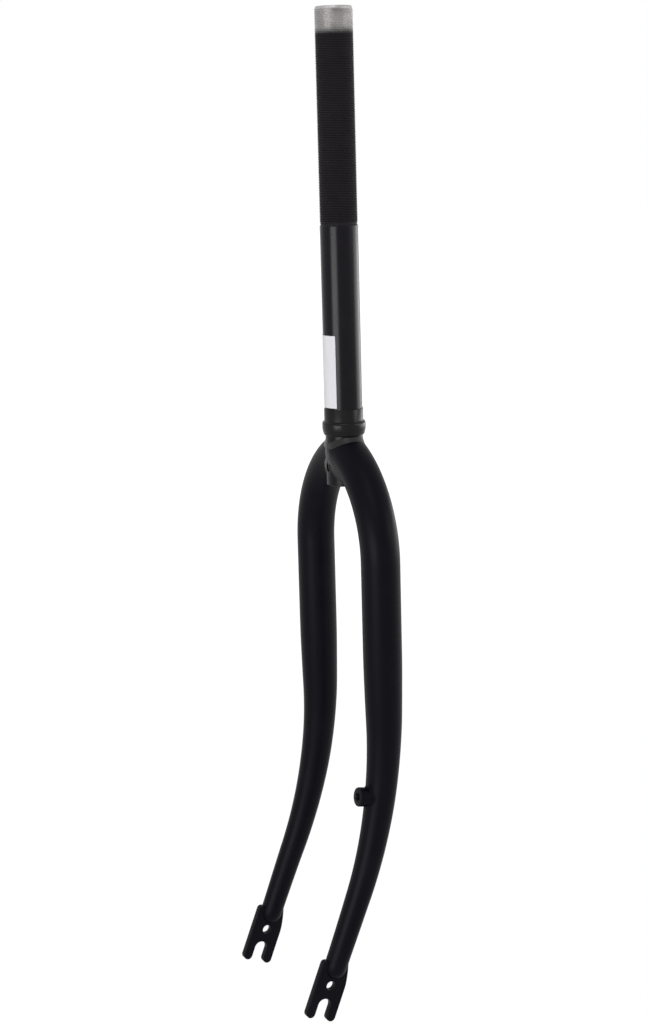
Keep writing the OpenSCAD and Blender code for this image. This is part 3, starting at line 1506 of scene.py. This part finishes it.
@dataclass
class Label:
    """A paper label round the front of the steerer, with slightly lifted edges. Millimetres."""

    radius: float = 12.72
    thickness: float = 0.14
    low: float = 9.6
    height: float = 48.5
    first: float = -150.0
    last: float = -46.5
    rounds: int = 72
    rows: int = 48
    peel: float = 0.22
    peel_share: float = 0.02
    curl: float = 0.12
    curl_share: float = 0.03
    unevenness: float = 0.03
    curls: float = 9.0
    waves_across: float = 21.0
    waves_up: float = 13.0
    slant: float = 5.0

    def lift(self, across: float, up: float) -> float:
        """How far the paper stands off the tube.

        Args:
            across: The place across the label, from 0 to 1.
            up: The place up the label, from 0 to 1.

        Returns:
            The distance.
        """
        side = min(across, 1 - across)
        peel = self.peel * math.exp(-side / self.peel_share)
        curl = self.curl * math.exp(-(1 - up) / self.curl_share)
        curl = curl * (0.4 + 0.6 * math.sin(across * self.curls) ** 2)
        wave = math.sin(across * self.waves_across + up * self.slant) * math.sin(up * self.waves_up)
        wave = wave * self.unevenness
        return peel + curl + self.unevenness + wave

    def sheet(self) -> bpy.types.Mesh:
        """The paper's outer and inner face, closed along all four edges.

        Returns:
            The mesh.
        """
        outer = []
        inner = []
        for j in range(self.rows + 1):
            up = j / self.rows
            for i in range(self.rounds + 1):
                across = i / self.rounds
                turn = math.radians(self.first + (self.last - self.first) * across)
                off = self.radius + max(0.0, self.lift(across, up))
                z = self.low + self.height * up
                inner.append((off * math.cos(turn), off * math.sin(turn), z))
                far = off + self.thickness
                outer.append((far * math.cos(turn), far * math.sin(turn), z))
        wide = self.rounds + 1
        total = len(outer)
        faces = []
        for j in range(self.rows):
            for i in range(self.rounds):
                a = j * wide + i
                quad = [a, a + 1, a + 1 + wide, a + wide]
                faces.append(quad)
                faces.append([total + v for v in reversed(quad)])
        top = self.rows * wide
        for i in range(self.rounds):
            faces.append([i + 1, i, total + i, total + i + 1])
            faces.append([top + i, top + i + 1, total + top + i + 1, total + top + i])
        for j in range(self.rows):
            a = j * wide
            b = a + self.rounds
            faces.append([a, a + wide, total + a + wide, total + a])
            faces.append([b + wide, b, total + b, total + b + wide])
        return closed_mesh("label", outer + inner, faces)

    def build(self) -> None:
        paper = LabelPaper("label_paper", self.low * MM)
        label = finished("paper_label_sheet", self.sheet(), paper)
        declared(label, ["paper_label"])


@dataclass
class Studio:
    """The camera, the lamps, the white surround and the floor. Metres."""

    eye: Point = (1.116671, -0.556454, 0.192126)
    ahead: Point = (-0.8821, 0.4263, -0.2003)
    across: Point = (0.4400, 0.8976, -0.0274)
    lens: float = 65.68
    floor_z: float = -0.75
    floor_size: float = 30.0
    floor_colour: Point = (0.8, 0.8, 0.8)
    floor_glow: float = 1.13
    floor_glow_near: float = 0.8
    near: float = 1.0
    far: float = 4.0
    white: Point = (1.0, 1.0, 1.0)
    surround_light: float = 0.42

    def camera(self) -> None:
        """Sets the camera at the photograph's viewing angle."""
        data = bpy.data.cameras.new("camera")
        data.sensor_fit = "VERTICAL"
        data.sensor_height = 36.0
        data.lens = self.lens
        data.clip_start = 0.01
        data.clip_end = 100.0
        camera = new_object("camera", data)
        ahead = Vector(self.ahead).normalized()
        right = Vector(self.across)
        right = (right - ahead * right.dot(ahead)).normalized()
        up = right.cross(ahead)
        turn = Matrix((right, up, -ahead)).transposed().to_4x4()
        camera.matrix_world = Matrix.Translation(self.eye) @ turn
        bpy.context.scene.camera = camera

    def panel(
        self,
        name: str,
        azimuth: float,
        distance: float,
        height: float,
        size: tuple[float, float],
        aim: float,
        power: float,
    ) -> None:
        """Adds one soft lamp that faces the fork.

        Args:
            name: The lamp's name.
            azimuth: Its direction from the fork, in degrees from +X.
            distance: Its distance from the steerer.
            height: The height of its middle.
            size: Its width and height.
            aim: The height of the point on the steerer's axis that it faces.
            power: Its power in watts.
        """
        data = bpy.data.lights.new(name, "AREA")
        data.shape = "RECTANGLE"
        data.size, data.size_y = size
        data.energy = power
        lamp = new_object(name, data)
        turn = math.radians(azimuth)
        spot = Vector((distance * math.cos(turn), distance * math.sin(turn), height))
        away = Vector((0, 0, aim)) - spot
        facing = away.to_track_quat("-Z", "Y").to_matrix().to_4x4()
        lamp.matrix_world = Matrix.Translation(spot) @ facing

    def surround(self) -> None:
        """Sets the white surround, plain for the eye and in reflections, and softer as a light."""
        world = bpy.data.worlds.new("surround")
        graph = emptied(world)
        strength = between(self.surround_light, 1.0, graph.looked_at())
        glow = graph.add("ShaderNodeBackground", None, {"Strength": strength})
        graph.feed(glow.inputs["Color"], rgba(self.white))
        graph.add("ShaderNodeOutputWorld", None, {"Surface": glow.outputs[0]})
        bpy.context.scene.world = world

    def floor(self) -> None:
        """Adds the pale floor well below the hanging fork."""
        half = self.floor_size / 2
        mesh = bpy.data.meshes.new("floor")
        corners = [(-half, -half), (half, -half), (half, half), (-half, half)]
        mesh.from_pydata([(x, y, self.floor_z) for x, y in corners], [], [[0, 1, 2, 3]])
        made = bpy.data.materials.new("floor_white")
        graph = emptied(made)
        matte = graph.add("ShaderNodeBsdfDiffuse", None, {"Color": rgba(self.floor_colour)})
        inputs = {"Color": rgba(self.white), "Strength": self.floor_glow}
        white = graph.add("ShaderNodeEmission", None, inputs)
        place = graph.add("ShaderNodeTexCoord").outputs["Object"]
        length = graph.add("ShaderNodeVectorMath", {"operation": "LENGTH"}, {0: place})
        away = Value(graph, length.outputs["Value"])
        glowing = between(self.floor_glow_near, 1.0, away.above(self.near, self.far))
        share = graph.looked_at() * glowing
        inputs = {0: share, 1: matte.outputs[0], 2: white.outputs[0]}
        both = graph.add("ShaderNodeMixShader", None, inputs)
        graph.add("ShaderNodeOutputMaterial", None, {"Surface": both.outputs[0]})
        mesh.materials.append(made)
        new_object("floor", mesh)

    def build(self) -> None:
        """Builds the studio."""
        bpy.context.scene.view_settings.view_transform = "Standard"
        self.camera()
        self.surround()
        self.floor()
        self.panel("front_panel", -62.0, 2.0, -0.12, (1.2, 0.42), aim=0.0, power=19.0)
        self.panel("rear_panel", 92.0, 2.0, -0.12, (2.0, 0.42), aim=0.0, power=13.0)
        self.panel("side_panel", 50.0, 2.0, 0.42, (0.8, 0.45), aim=0.2, power=7.0)
        self.panel("top_panel", -30.0, 1.6, 1.7, (1.2, 1.2), aim=0.0, power=9.0)


def main() -> None:
    """Builds the fork piece by piece and the studio round it."""
    logging.basicConfig(level=logging.INFO, format="%(name)s: %(message)s")
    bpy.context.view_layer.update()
    Steerer().build()
    RaceRing().build()
    for side in Side:
        Blade(side).build()
        Dropout(side).build()
        CrownWeld(side).build()
    LampBoss().build()
    Label().build()
    Studio().build()


if __name__ == "__main__":
    main()
